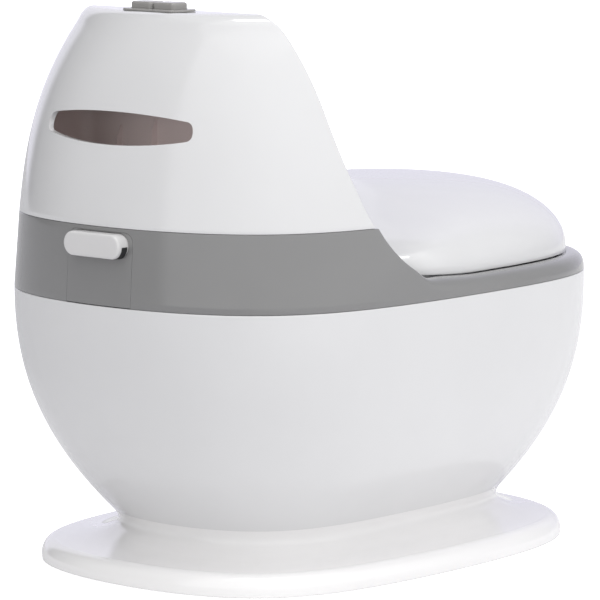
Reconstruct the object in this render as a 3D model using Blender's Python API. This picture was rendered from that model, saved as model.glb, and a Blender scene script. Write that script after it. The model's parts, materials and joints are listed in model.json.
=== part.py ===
"""Toilet-style potty training chair: pedestal foot, bowl, grey seat band, lift-off tank, domed lid.

Front is -Y, rear is +Y, up is +Z, and the origin is on the floor under the middle of the chair.
All named lengths are millimetres; meshes are written in metres.
"""
import math

import bmesh
import bpy
from mathutils import Matrix, Vector

MM = 0.001

# ---- plan outline of the band: half-width and half-length harmonics ----
BAND_X = (160.7, 1.9, 13.3)
BAND_Y = (205.8, -0.2, -5.0)
BAND_HALF_WIDTH = 147.6
BAND_HALF_LENGTH = 200.8
FOOT_X = (144.8, 0.2, 9.6)
FOOT_Y = (192.0, 0.2, -8.4)
FOOT_HALF_WIDTH = 135.4
FOOT_HALF_LENGTH = 183.8

# ---- levels ----
FOOT_UNDERSIDE = 1.0
FOOT_SKIRT = 0.4
FOOT_EDGE_TOP = 15.0
NECK_Z = 27.7
BOWL_BOTTOM = 28.0
BOWL_TOP = 184.1
BAND_BOTTOM = 184.6
DECK_Z = 195.0
RIM_Z = 194.0
LIP_Z = 196.5
BAND_TOP = 235.0
TANK_BOTTOM = 235.4
ROOF_Z = 370.0
GAP = 0.4

# ---- wall thickness ----
WALL = 3.0
FOOT_WALL = 3.0

# ---- wing edge: the swept line from the rim up to the tank top ----
WING_Y0 = 8.5
WING_REACH = 101.1
WING_RISE = 116.0
WING_POWER = 2.136
WING_LEAN = 0.12

# ---- backrest ----
BACK_Y_LOW = 114.0
BACK_Y_HIGH = 122.0

# ---- lid ----
LID_INSET = 11.4
LID_EDGE_Z = 197.1
LID_RISE = 49.4
LID_FULL = (2.9, 2.45)
LID_CENTRE_Y = -82.0
LID_REAR_START = -10.0
LID_REAR_BLEND = 72.0
LID_REAR_LIFT = 5.0
LID_WALL = 3.0
HINGE_Y = 50.0
HINGE_Z = 209.5

# ---- pot and seat ring ----
OPENING = (84.0, 100.0)
OPENING_Y = -70.0
RING_OPENING = (68.0, 84.0)

# ---- flush module ----
FLUSH_Y = 141.0
FLUSH_HOLE = (45.8, 18.2)

# ---- latch on the rear of the band ----
PANEL_HALF = 28.6
PANEL_TOP = 232.5
LATCH_Z = 223.8
CAP_WIDE = 50.0
CAP_TALL = 15.8

# ---- slot for wipes ----
SLOT_HALF = 64.0
SLOT_MID = 297.6
SLOT_STRAIGHT = 0.925

PALETTE = {
    "white_gloss": ((0.80, 0.80, 0.82), 0.16, 0.0),
    "grey_gloss": ((0.255, 0.255, 0.26), 0.22, 0.0),
    "seat_white": ((0.74, 0.74, 0.76), 0.28, 0.0),
    "pot_grey": ((0.52, 0.53, 0.55), 0.30, 0.0),
    "button_white": ((0.72, 0.72, 0.73), 0.22, 0.0),
    "button_grey": ((0.30, 0.30, 0.31), 0.25, 0.0),
    "rubber": ((0.05, 0.05, 0.055), 0.75, 0.0),
    "inner_plastic": ((0.45, 0.43, 0.42), 0.50, 0.0),
    "black_plastic": ((0.03, 0.03, 0.032), 0.45, 0.0),
    "steel": ((0.62, 0.62, 0.64), 0.28, 1.0),
    "board_green": ((0.02, 0.16, 0.07), 0.45, 0.0),
    "battery": ((0.10, 0.24, 0.12), 0.35, 0.3),
}


def make_material(name, kind):
    colour, rough, metal = PALETTE[kind]
    mat = bpy.data.materials.new(name + "_" + kind)
    mat.use_nodes = True
    shader = mat.node_tree.nodes["Principled BSDF"]
    shader.inputs["Base Color"].default_value = (*colour, 1.0)
    shader.inputs["Roughness"].default_value = rough
    shader.inputs["Metallic"].default_value = metal
    return mat


def finish(name, verts, faces, kind, smooth=30.0):
    """Turn millimetre vertices and faces into one object with outward faces."""
    mesh = bpy.data.meshes.new(name)
    mesh.from_pydata([(x * MM, y * MM, z * MM) for x, y, z in verts], [], faces)
    work = bmesh.new()
    work.from_mesh(mesh)
    bmesh.ops.remove_doubles(work, verts=work.verts, dist=1e-6)
    bmesh.ops.recalc_face_normals(work, faces=work.faces)
    if work.calc_volume(signed=True) < 0:
        bmesh.ops.reverse_faces(work, faces=work.faces)
    work.to_mesh(mesh)
    work.free()
    mesh.materials.append(make_material(name, kind))
    if smooth:
        mesh.shade_smooth()
        mesh.set_sharp_from_angle(angle=math.radians(smooth))
    obj = bpy.data.objects.new(name, mesh)
    bpy.context.scene.collection.objects.link(obj)
    return obj


def loft(name, rings, kind, closed_loop=False, smooth=30.0):
    """Skin a list of equal rings; end rings are capped unless the list closes on itself."""
    count = len(rings[0])
    verts = [point for ring in rings for point in ring]
    faces = []
    spans = len(rings) if closed_loop else len(rings) - 1
    for i in range(spans):
        a = i * count
        b = ((i + 1) % len(rings)) * count
        for j in range(count):
            k = (j + 1) % count
            faces.append((a + j, a + k, b + k, b + j))
    if not closed_loop:
        last = (len(rings) - 1) * count
        faces.append(tuple(range(count)))
        faces.append(tuple(range(last, last + count)))
    return finish(name, verts, faces, kind, smooth)


def cut(target, cutter, operation="DIFFERENCE"):
    """Cut one body with a hidden guide body."""
    cutter.hide_render = True
    cutter.display_type = "WIRE"
    mod = target.modifiers.new("cut_" + cutter.name, "BOOLEAN")
    mod.operation = operation
    mod.solver = "EXACT"
    mod.object = cutter
    return mod


def move_origin(obj, x, y, z):
    """Put the object's origin on its joint without moving its surface."""
    shift = Vector((x * MM, y * MM, z * MM))
    obj.data.transform(Matrix.Translation(-shift))
    obj.location = shift


# ---------------------------------------------------------------- outlines
def harmonic(t, xs, ys, half_w, half_l, inset, shift):
    x = sum(a * math.sin((k + 1) * t) for k, a in enumerate(xs))
    y = sum(b * math.cos((k + 1) * t) for k, b in enumerate(ys))
    return x * (1 - inset / half_w), y * (1 - inset / half_l) + shift


def band(t, inset=0.0, shift=0.0):
    return harmonic(t, BAND_X, BAND_Y, BAND_HALF_WIDTH, BAND_HALF_LENGTH, inset, shift)


def foot(t, inset=0.0):
    return harmonic(t, FOOT_X, FOOT_Y, FOOT_HALF_WIDTH, FOOT_HALF_LENGTH, inset, 0.8)


def bowl_inset(z):
    return 37.8 * (max(184.4 - z, 0.0) / 129.0) ** 2.41


def bowl_shift(z):
    return -5.2 * (max(184.0 - z, 0.0) / 150.0) ** 1.5


def tank_inset(z):
    up = max(z - BAND_TOP, 0.0)
    lean = 3.4 * min(max(z - BAND_BOTTOM, 0.0) / 50.4, 1.0)
    return lean + 0.092 * up + 26.6 * (up / 130.0) ** 2.66


def wing_y(z):
    """How far back the wing edge stands at height z."""
    v = min(max((z - RIM_Z) / WING_RISE, 0.0), 1.0)
    sweep = (1 - (1 - v) ** WING_POWER) ** (1 / WING_POWER)
    return WING_Y0 + WING_REACH * sweep + WING_LEAN * max(z - 260.0, 0.0)


def wing_height(y):
    """Height of the band's upper edge at distance y, inverse of wing_y."""
    if y <= WING_Y0:
        return RIM_Z
    low, high = RIM_Z, BAND_TOP
    if y >= wing_y(high):
        return high
    for _ in range(40):
        mid = 0.5 * (low + high)
        if wing_y(mid) < y:
            low = mid
        else:
            high = mid
    return 0.5 * (low + high)


def angle_at_y(y, inset):
    """Outline angle on the +X side where the inset band outline has this y."""
    low, high = 0.0, math.pi
    for _ in range(50):
        mid = 0.5 * (low + high)
        if band(mid, inset)[1] > y:
            low = mid
        else:
            high = mid
    return 0.5 * (low + high)


def ellipse(t, rx, ry, cy):
    return rx * math.sin(t), cy + ry * math.cos(t)


def rounded_box(wide, deep, radius, cx, cy, z, per_corner=4):
    """A flat rounded rectangle centred on (cx, cy) at height z."""
    ring = []
    corners = ((1, 1, 0), (-1, 1, 90), (-1, -1, 180), (1, -1, 270))
    for sx, sy, start in corners:
        ox = cx + sx * (wide / 2 - radius)
        oy = cy + sy * (deep / 2 - radius)
        for i in range(per_corner + 1):
            a = math.radians(start + 90.0 * i / per_corner)
            ring.append((ox + radius * math.cos(a), oy + radius * math.sin(a), z))
    return ring


def circle(radius, centre, axis, count):
    """A ring of points round an axis letter at a centre."""
    cx, cy, cz = centre
    ring = []
    for i in range(count):
        a = 2 * math.pi * i / count
        u = radius * math.cos(a)
        v = radius * math.sin(a)
        if axis == "Z":
            ring.append((cx + u, cy + v, cz))
        elif axis == "X":
            ring.append((cx, cy + u, cz + v))
        else:
            ring.append((cx + v, cy, cz + u))
    return ring


def turned(name, profile, centre, axis, kind, count=16, smooth=30.0):
    """A solid of revolution from (radius, distance along the axis) pairs."""
    cx, cy, cz = centre
    rings = []
    for radius, along in profile:
        if axis == "Z":
            rings.append(circle(radius, (cx, cy, cz + along), "Z", count))
        elif axis == "X":
            rings.append(circle(radius, (cx + along, cy, cz), "X", count))
        else:
            rings.append(circle(radius, (cx, cy + along, cz), "Y", count))
    return loft(name, rings, kind, smooth=smooth)


def block(name, low, high, kind, chamfer=0.0):
    """A box with its upright edges chamfered."""
    wide = high[0] - low[0]
    deep = high[1] - low[1]
    cx = 0.5 * (low[0] + high[0])
    cy = 0.5 * (low[1] + high[1])
    radius = max(chamfer, 0.01)
    steps = 2 if chamfer else 0
    if steps:
        rings = [rounded_box(wide, deep, radius, cx, cy, z, steps) for z in (low[2], high[2])]
        return loft(name, rings, kind)
    xs = (low[0], high[0])
    ys = (low[1], high[1])
    rings = []
    for z in (low[2], high[2]):
        rings.append([(xs[0], ys[0], z), (xs[1], ys[0], z), (xs[1], ys[1], z), (xs[0], ys[1], z)])
    return loft(name, rings, kind, smooth=0)


def bar_along_x(name, profile, x0, x1, kind, smooth=30.0):
    """Extrude a (y, z) polygon along X."""
    rings = [[(x, y, z) for y, z in profile] for x in (x0, x1)]
    return loft(name, rings, kind, smooth=smooth)


def stadium(wide, tall, y, cz, per_end=6):
    """A pill outline in the XZ plane."""
    ring = []
    r = tall / 2
    for sx, start in ((1, -90), (-1, 90)):
        for i in range(per_end + 1):
            a = math.radians(start + 180.0 * i / per_end)
            ring.append((sx * (wide / 2 - r) + r * math.cos(a), y, cz + r * math.sin(a)))
    return ring


def coil(name, radius, wire, start, end, axis, centre, turns, kind="steel"):
    """A compression spring; start and end are distances along its axis."""
    sides = 4
    per_turn = 8
    total = turns * per_turn
    rings = []
    for i in range(total + 1):
        share = i / total
        a = 2 * math.pi * turns * share
        along = start + wire + (end - start - 2 * wire) * share
        ring = []
        for j in range(sides):
            b = 2 * math.pi * j / sides
            rr = radius + wire * math.cos(b)
            h = along + wire * math.sin(b)
            u, v = rr * math.cos(a), rr * math.sin(a)
            if axis == "Z":
                ring.append((centre[0] + u, centre[1] + v, h))
            else:
                ring.append((centre[0] + v, h, centre[2] + u))
        rings.append(ring)
    return loft(name, rings, kind, smooth=40.0)


for old in list(bpy.data.objects):
    bpy.data.objects.remove(old, do_unlink=True)

RING = 44
TURN = [2 * math.pi * i / RING for i in range(RING)]


def foot_blend(share, z):
    """A ring between the foot's edge and the neck."""
    ring = []
    for t in TURN:
        x0, y0 = foot(t, 8.0)
        x1, y1 = band(t, 60.0, bowl_shift(BOWL_BOTTOM))
        ring.append((x0 + (x1 - x0) * share, y0 + (y1 - y0) * share, z))
    return ring


def foot_ring(inset, z):
    return [(*foot(t, inset), z) for t in TURN]


def slope_z(share):
    return FOOT_EDGE_TOP + 4.0 * share + (NECK_Z - FOOT_EDGE_TOP - 4.0) * share ** 4


# ---------------------------------------------------------------- pedestal foot
SLOPE = (0.3, 0.6, 0.8, 0.92, 1.0)
foot_rings = [foot_blend(s, slope_z(s)) for s in reversed(SLOPE)]
foot_rings += [foot_ring(7.6, 15.0), foot_ring(4.0, 13.4), foot_ring(1.4, 10.4), foot_ring(0.1, 6.4)]
foot_rings += [foot_ring(0.0, 3.4), foot_ring(0.3, FOOT_SKIRT), foot_ring(2.9, FOOT_SKIRT)]
foot_rings += [foot_ring(3.2, FOOT_UNDERSIDE), foot_ring(20.0, FOOT_UNDERSIDE), foot_ring(20.0, 4.0)]
foot_rings += [foot_ring(3.2, 4.0), foot_ring(3.4, 8.6), foot_ring(6.6, 11.4)]
foot_rings += [foot_blend(s, slope_z(s) - FOOT_WALL) for s in SLOPE]
pedestal_foot = loft("pedestal_foot", foot_rings, "white_gloss")

PAD_TURNS = (25, 90, 155, 205, 270, 335)
PAD_SPOTS = [foot(math.radians(a), 11.0) for a in PAD_TURNS]
SCREW_SPOTS = [(sx * 48.0, sy * 78.0 - 6.0) for sx in (-1, 1) for sy in (-1, 1)]

for n, (px, py) in enumerate(PAD_SPOTS):
    guide = turned("guide_pad_hole_%d" % n, ((2.8, 0.0), (2.8, 5.0)), (px, py, 0.0), "Z", "rubber", 12)
    cut(pedestal_foot, guide)
    shape = ((5.6, 0.0), (6.8, 0.4), (6.8, 0.7), (2.4, 0.7), (2.4, 4.3), (3.5, 4.4), (2.0, 7.0))
    turned("foot_pad_%d" % (n + 1), shape, (px, py, 0.0), "Z", "rubber", 12)

# ---------------------------------------------------------------- bowl
BOWL_OUT = (28.0, 34.0, 43.0, 55.0, 70.0, 88.0, 108.0, 134.0, 160.0, 184.1)
BOWL_IN = (184.1, 160.0, 134.0, 108.0, 88.0, 70.0, 55.0, 43.0, 36.0)


def bowl_ring(z, extra):
    return [(*band(t, bowl_inset(z) + extra, bowl_shift(z)), z) for t in TURN]


def bowl_skin(z):
    """Sideways wall thickness; the wall leans more towards the neck."""
    return WALL + 1.6 * max(110.0 - z, 0.0) / 70.0


bowl_rings = [bowl_ring(z, 0.0) for z in BOWL_OUT] + [bowl_ring(z, bowl_skin(z)) for z in BOWL_IN]
bowl_shell = loft("bowl_shell", bowl_rings, "white_gloss")

for n, (px, py) in enumerate(SCREW_SPOTS):
    wide = ((2.1, 0.0), (2.1, 8.0))
    tight = ((1.9, 0.0), (1.9, 7.0))
    through = turned("guide_foot_screw_hole_%d" % n, wide, (px, py, 22.0), "Z", "steel", 10)
    cut(pedestal_foot, through)
    blind = turned("guide_bowl_screw_hole_%d" % n, tight, (px, py, 27.0), "Z", "steel", 10)
    cut(bowl_shell, blind)
    shape = ((2.6, 0.0), (4.0, 1.0), (4.0, 2.6), (1.5, 2.6), (1.5, 11.0), (0.5, 12.0))
    turned("foot_screw_%d" % (n + 1), shape, (px, py, 21.8), "Z", "steel", 10)

# ---------------------------------------------------------------- seat deck (grey band)
HALF_TURN = [0, 7, 14, 21, 28, 35, 42, 49, 54, 58, 61, 64, 67, 70, 73, 76, 79, 83, 88, 95]
HALF_TURN += [103, 112, 122, 132, 142, 152, 162, 171, 180]
DECK_TURN = HALF_TURN + [360 - a for a in reversed(HALF_TURN[1:-1])]


def mix(a, b, w):
    return tuple(p + (q - p) * w for p, q in zip(a, b))


def deck_section(t):
    """Twelve points from the band's outer foot, over its top edge, in to the opening and back."""
    y = band(t, 1.5)[1]
    high = wing_height(y)
    lean = tank_inset(high)
    w = min(max((high - RIM_Z) / 10.0, 0.0), 1.0)
    rim = ((0.6, 191.4), (2.3, 194.6), (6.0, 196.2), (11.4, LIP_Z), (12.6, DECK_Z))
    wall = ((lean, high - 0.5), (lean + 0.5, high), (lean + 2.5, high), (lean + 3.0, high - 0.5))
    wall += ((lean + 3.0, DECK_Z),)
    points = [(*band(t, 0.0), BAND_BOTTOM)]
    for r, q in zip(rim, wall):
        inset, z = mix(r, q, w)
        points.append((*band(t, inset), z))
    points.append((*ellipse(t, OPENING[0], OPENING[1], OPENING_Y), DECK_Z))
    points.append((*ellipse(t, OPENING[0], OPENING[1], OPENING_Y), DECK_Z - WALL))
    points.append((*band(t, 7.2), DECK_Z - WALL))
    points.append((*band(t, 7.2), 178.0))
    points.append((*band(t, 4.6), 178.0))
    points.append((*band(t, 4.4), BAND_BOTTOM))
    return points


deck_columns = [deck_section(math.radians(a)) for a in DECK_TURN]
seat_deck = loft("seat_deck", deck_columns, "grey_gloss", closed_loop=True)


def panel_outline(half, top, bottom, y, corner=7.0):
    """An arch-topped panel outline in the XZ plane."""
    ring = [(-half, y, bottom), (half, y, bottom)]
    for sx, start in ((1, 0), (-1, 90)):
        for i in range(5):
            a = math.radians(start + 90.0 * i / 4)
            x = sx * (half - corner) + corner * math.cos(a)
            ring.append((x, y, top - corner + corner * math.sin(a)))
    return ring


panel_rings = [panel_outline(PANEL_HALF + GAP, PANEL_TOP + GAP, 183.9, y) for y in (189.0, 215.0)]
cut(seat_deck, loft("guide_panel_notch", panel_rings, "grey_gloss"))

REAR = [math.radians(-24.0 + 4.0 * i) for i in range(13)]


def rear_arc(z, inset):
    return [(*band(t, tank_inset(z) + inset), z) for t in REAR]


panel_wall = []
for z in (180.0, 210.0, 238.0):
    panel_wall.append(rear_arc(z, 0.0) + list(reversed(rear_arc(z, WALL))))
latch_panel = loft("latch_panel", panel_wall, "grey_gloss")
trim_rings = [panel_outline(PANEL_HALF, PANEL_TOP, 185.0, y) for y in (170.0, 220.0)]
cut(latch_panel, loft("guide_panel_trim", trim_rings, "grey_gloss"), "INTERSECT")
hole_rings = [stadium(CAP_WIDE + 0.9, CAP_TALL + 0.9, y, LATCH_Z) for y in (180.0, 215.0)]
cut(latch_panel, loft("guide_panel_hole", hole_rings, "grey_gloss"))

# ---------------------------------------------------------------- latch behind the panel
button_rings = [
    stadium(36.0, 8.0, 184.0, LATCH_Z),
    stadium(36.0, 8.0, 188.0, LATCH_Z),
    stadium(53.0, 18.6, 188.0, LATCH_Z),
    stadium(53.0, 18.6, 190.0, LATCH_Z),
    stadium(CAP_WIDE, CAP_TALL, 190.0, LATCH_Z),
    stadium(CAP_WIDE, CAP_TALL, 203.8, LATCH_Z),
    stadium(CAP_WIDE - 1.0, CAP_TALL - 1.0, 204.9, LATCH_Z),
    stadium(CAP_WIDE - 3.4, CAP_TALL - 3.4, 205.4, LATCH_Z),
]
release_button = loft("release_button", button_rings, "button_white")
move_origin(release_button, 0.0, 202.0, LATCH_Z)

coil("release_spring", 4.2, 0.5, 170.4, 183.6, "Y", (0.0, 0.0, LATCH_Z), 4)

guide_profile = [(167.0, 195.4), (186.0, 195.4), (186.0, 198.0), (170.0, 198.0)]
guide_profile += [(170.0, 233.0), (167.0, 233.0)]
latch_guide = bar_along_x("latch_guide", guide_profile, -24.0, 24.0, "inner_plastic")
for n, sx in enumerate((-1, 1)):
    spot = (sx * 19.0, 179.0)
    tight = ((1.9, 0.0), (1.9, 12.0))
    hole = turned("guide_latch_screw_hole_%d" % n, tight, (*spot, 190.0), "Z", "steel", 10)
    cut(seat_deck, hole)
    cut(latch_guide, hole)
    shape = ((0.5, 0.0), (1.5, 1.0), (1.5, 9.3), (3.6, 9.3), (3.6, 10.6), (2.4, 11.4))
    turned("latch_screw_%d" % (n + 1), shape, (*spot, 189.0), "Z", "steel", 10)

# ---------------------------------------------------------------- pot
POT_OUT = ((-5.0, 195.4), (-6.0, 196.6), (-5.0, 197.8))
POT_IN = ((3.4, 197.4), (4.6, 193.0), (7.0, 160.0), (12.0, 135.0), (21.0, 118.0), (36.0, 109.0))
POT_BACK = ((36.0, 106.6), (20.0, 115.5), (9.6, 133.5), (4.6, 160.0), (2.2, 193.0), (1.6, 195.4))


def opening_ring(inset, z):
    return [(*ellipse(t, OPENING[0] - inset, OPENING[1] - inset, OPENING_Y), z) for t in TURN]


pot_rings = [opening_ring(i, z) for i, z in POT_BACK + POT_OUT + POT_IN]
pot = loft("pot", pot_rings, "pot_grey")

# ---------------------------------------------------------------- seat ring


def squashed(t, inset, start, blend):
    """The band outline with its rear, past start, pulled in to a nearly straight edge."""
    x, y = band(t, inset)
    if y > start:
        y = start + blend * (1 - math.exp(-(y - start) / blend))
    return x, y


def seat_ring_section(t):
    outer = squashed(t, 18.0, 0.0, 38.0)
    inner = ellipse(t, RING_OPENING[0], RING_OPENING[1], OPENING_Y)
    step = ellipse(t, OPENING[0] + 8.0, OPENING[1] + 8.0, OPENING_Y)

    def across(share, z):
        return (outer[0] + (inner[0] - outer[0]) * share, outer[1] + (inner[1] - outer[1]) * share, z)

    section = [(*outer, 195.4), (*outer, 200.4), across(0.08, 204.6), across(0.3, 207.8)]
    section += [across(0.62, 207.4), across(0.86, 204.2), (*inner, 199.6), (*inner, 198.2)]
    section += [(*step, 198.2), (*step, 195.4)]
    return section


ring_columns = [seat_ring_section(t) for t in TURN]
seat_ring = loft("seat_ring", ring_columns, "seat_white", closed_loop=True)

# ---------------------------------------------------------------- lid
DOME = (1.0, 0.985, 0.955, 0.91, 0.84, 0.74, 0.60, 0.42, 0.20)


def lid_outline(t, wall):
    """The band outline drawn in, with its rear pulled forward to a rounded hinge edge."""
    x, y = band(t, LID_INSET + wall)
    if y > LID_REAR_START:
        reach = LID_REAR_BLEND - 0.9 * wall
        y = LID_REAR_START + reach * math.tanh((y - LID_REAR_START) / reach)
        x *= 1 - 0.25 * ((y - LID_REAR_START) / reach) ** 6
    return x, y


def lid_ring(share, wall):
    """One ring of the domed lid; share runs from 1 at its edge to 0 in the middle."""
    ring = []
    for t in TURN:
        edge = lid_outline(t, wall)
        back = min(max((edge[1] - 40.0) / 20.0, 0.0), 1.0)
        x, y = mix(edge, ellipse(t, 124.0, 118.0, LID_CENTRE_Y), 1 - share)
        rise = (LID_RISE - wall) * (1 - share ** LID_FULL[0]) ** (1 / LID_FULL[1])
        lift = LID_REAR_LIFT * back * back * (3 - 2 * back)
        z = LID_EDGE_Z + lift * share + 1.5 * (1 - share) + rise
        ring.append((x * share, LID_CENTRE_Y + (y - LID_CENTRE_Y) * share, z))
    return ring


lid_rings = [lid_ring(s, 0.0) for s in reversed(DOME)] + [lid_ring(s, LID_WALL) for s in DOME]
lid = loft("lid", lid_rings, "white_gloss")
move_origin(lid, 0.0, HINGE_Y, HINGE_Z)

# ---------------------------------------------------------------- lid hinge, one set each side
ARM_LOBE = {150: 13.0, 135: 21.0, 120: 14.0}
for side, sx in (("right", -1), ("left", 1)):
    outer_ring = []
    inner_ring = []
    for i in range(24):
        deg = 15 * i
        a = math.radians(deg)
        r = ARM_LOBE.get(deg, 4.6)
        outer_ring.append((HINGE_Y + r * math.cos(a), HINGE_Z + r * math.sin(a)))
        inner_ring.append((HINGE_Y + 2.4 * math.cos(a), HINGE_Z + 2.4 * math.sin(a)))
    rings = []
    for x, pts in ((77.6, outer_ring), (87.4, outer_ring), (87.4, inner_ring), (77.6, inner_ring)):
        rings.append([(sx * x, y, z) for y, z in pts])
    arm = loft("lid_arm_" + side, rings, "inner_plastic", closed_loop=True)
    move_origin(arm, 0.0, HINGE_Y, HINGE_Z)

    pillar = [(42.4, 195.4), (57.0, 195.4), (57.0, 197.6), (54.4, 199.0), (54.4, 209.5), (53.1, 212.6)]
    pillar += [(50.0, 213.9), (46.9, 212.6), (45.6, 209.5), (45.6, 199.0), (42.4, 197.6)]
    notch_low, notch_high = sorted((sx * 87.6, sx * 98.0))
    notch_ends = ((notch_low, 44.0, 190.0), (notch_high, 80.0, 216.0))
    cut(lid, block("guide_lid_notch_" + side, *notch_ends, "white_gloss"))
    lower, upper = sorted((sx * 88.0, sx * 97.0))
    bracket = bar_along_x("hinge_bracket_" + side, pillar, lower, upper, "inner_plastic")
    bore_start = (sx * 92.5 - 7.0, HINGE_Y, HINGE_Z)
    bore = turned("guide_pin_bore_" + side, ((2.4, 0.0), (2.4, 14.0)), bore_start, "X", "steel", 12)
    cut(bracket, bore)
    pin_start = (sx * 87.6 - 10.2, HINGE_Y, HINGE_Z)
    pin_shape = ((1.6, 0.0), (2.0, 0.5), (2.0, 19.9), (1.6, 20.4))
    turned("hinge_pin_" + side, pin_shape, pin_start, "X", "steel", 12)

# ---------------------------------------------------------------- tank cover
FRONT_STEPS = 12
REAR_STEPS = 24
TANK_LEVELS = (TANK_BOTTOM, 243.0, 252.0, 262.0, 274.0, 288.0, 304.0, 320.0, 336.0, 350.0, 360.0)
ROOF_LEVELS = ((364.6, 41.2, 0.4), (367.6, 42.8, 1.2), (369.3, 45.0, 2.6), (ROOF_Z, 48.0, 5.0))
APRON_LEVELS = (229.0, 221.0, 212.0, 203.0, 195.6)


def back_y(z):
    """Middle of the backrest's front face."""
    share = min(max((z - 195.0) / 110.0, 0.0), 1.0)
    return BACK_Y_LOW + (BACK_Y_HIGH - BACK_Y_LOW) * share


def tank_loop(z, inset, front_back, wall):
    """One closed loop: the rear from -X round to +X, then the front back again."""
    edge_y = wing_y(z) + front_back + wall
    mid_y = back_y(z) + front_back + wall
    total = inset + wall
    t_edge = angle_at_y(edge_y, total)
    loop = []
    for i in range(REAR_STEPS + 1):
        t = -t_edge + 2 * t_edge * i / REAR_STEPS
        loop.append(band(t, total))
    x_edge = loop[-1][0]
    margin = 4.2 - 0.8 * wall
    for i in range(1, FRONT_STEPS):
        if i == 1:
            x = x_edge - margin
        elif i == FRONT_STEPS - 1:
            x = -(x_edge - margin)
        else:
            x = (x_edge - margin) * math.cos(math.pi * (i - 1) / (FRONT_STEPS - 2))
        share = abs(x / x_edge) ** 3
        loop.append((x, mid_y + (edge_y - mid_y) * share))
    return loop


def apron_row(z, wall):
    """The backrest below the tank's lower edge, between the band's wings."""
    edge_y = max(wing_y(z) + 1.2, 78.0) + wall
    mid_y = back_y(z) + wall
    reach = band(angle_at_y(edge_y, 7.3), 7.3)[0]
    row = []
    for i in range(1, FRONT_STEPS):
        x = reach * math.cos(math.pi * (i - 1) / (FRONT_STEPS - 2))
        share = abs(x / reach) ** 3
        row.append((x, mid_y + (edge_y - mid_y) * share))
    return row


def tank_body():
    """Outer and inner skins of the tank joined along the lower edge, the apron and the flush hole."""
    verts = []
    faces = []
    loop_size = REAR_STEPS + FRONT_STEPS

    def add(points, z):
        start = len(verts)
        verts.extend((x, y, z) for x, y in points)
        return list(range(start, start + len(points)))

    skins = []
    for wall in (0.0, WALL):
        loops = [add(tank_loop(z, tank_inset(z), 0.0, wall), z) for z in TANK_LEVELS]
        for z, inset, back in ROOF_LEVELS:
            loops.append(add(tank_loop(z, inset, back, wall * 0.6), z - wall))
        hole = []
        for x, y in [verts[k][:2] for k in loops[-1]]:
            a = math.atan2((y - FLUSH_Y) / FLUSH_HOLE[1], x / FLUSH_HOLE[0])
            c, s = math.cos(a), math.sin(a)
            r = (abs(c) ** 8 + abs(s) ** 8) ** (-1 / 8)
            hole.append((0.5 * FLUSH_HOLE[0] * r * c, FLUSH_Y + 0.5 * FLUSH_HOLE[1] * r * s))
        loops.append(add(hole, ROOF_Z - wall))
        rows = [add(apron_row(z, wall), z) for z in APRON_LEVELS]
        skins.append((loops, rows))
    for loops, rows in skins:
        for low, high in zip(loops, loops[1:]):
            for j in range(loop_size):
                k = (j + 1) % loop_size
                faces.append((low[j], low[k], high[k], high[j]))
        top = loops[0][REAR_STEPS + 1:]
        for upper, lower in zip([top] + rows, rows):
            for j in range(len(upper) - 1):
                faces.append((upper[j], upper[j + 1], lower[j + 1], lower[j]))
    (out_loops, out_rows), (in_loops, in_rows) = skins
    for j in range(loop_size):
        k = (j + 1) % loop_size
        faces.append((out_loops[-1][j], out_loops[-1][k], in_loops[-1][k], in_loops[-1][j]))
        if REAR_STEPS + 1 <= j < loop_size - 1:
            continue
        faces.append((out_loops[0][j], out_loops[0][k], in_loops[0][k], in_loops[0][j]))
    out_rim = [out_loops[0][REAR_STEPS + 1]] + [row[0] for row in out_rows]
    in_rim = [in_loops[0][REAR_STEPS + 1]] + [row[0] for row in in_rows]
    out_rim += out_rows[-1][1:-1]
    in_rim += in_rows[-1][1:-1]
    out_rim += [row[-1] for row in reversed(out_rows)] + [out_loops[0][-1]]
    in_rim += [row[-1] for row in reversed(in_rows)] + [in_loops[0][-1]]
    for j in range(len(out_rim) - 1):
        faces.append((out_rim[j], out_rim[j + 1], in_rim[j + 1], in_rim[j]))
    return verts, faces


tank_verts, tank_faces = tank_body()
tank_cover = finish("tank_cover", tank_verts, tank_faces, "white_gloss")


def slot_edge(share, side):
    """Height of the slot's upper (+1) or lower (-1) edge, share running from -1 to 1 along it."""
    past = max((abs(share) - SLOT_STRAIGHT) / (1 - SLOT_STRAIGHT), 0.0)
    close = max(1 - past ** 2.4, 0.0) ** (1 / 2.4)
    if side > 0:
        return SLOT_MID + (10.4 - 4.6 * share * share) * close
    return SLOT_MID - (10.6 - 5.4 * share * share) * close


SLOT_SHARES = (-1.0, -0.994, -0.975, -0.94, -0.85, -0.6, -0.3, 0.0, 0.3, 0.6, 0.85, 0.94, 0.975, 0.994, 1.0)


def slot_outline(y):
    """The lens-shaped opening for wipes, closed by a short round at each end."""
    ring = [(SLOT_HALF * u, y, slot_edge(u, -1)) for u in SLOT_SHARES]
    ring += [(SLOT_HALF * u, y, slot_edge(u, 1)) for u in reversed(SLOT_SHARES[1:-1])]
    return ring


cut(tank_cover, loft("guide_slot", [slot_outline(y) for y in (150.0, 210.0)], "white_gloss"))
move_origin(tank_cover, 0.0, FLUSH_Y, TANK_BOTTOM)

# ---------------------------------------------------------------- wipes box inside the tank
box_profile = [(127.5, 200.0), (130.0, 200.0), (130.0, 246.0), (150.0, 246.0)]
box_profile += [(150.0, 195.4), (152.5, 195.4)]
box_profile += [(152.5, 246.0), (176.0, 246.0), (176.0, 264.0), (173.5, 264.0), (173.5, 248.5)]
box_profile += [(130.0, 248.5), (130.0, 312.0), (127.5, 312.0)]
bar_along_x("wipes_box", box_profile, -62.0, 62.0, "inner_plastic", smooth=0)

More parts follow.
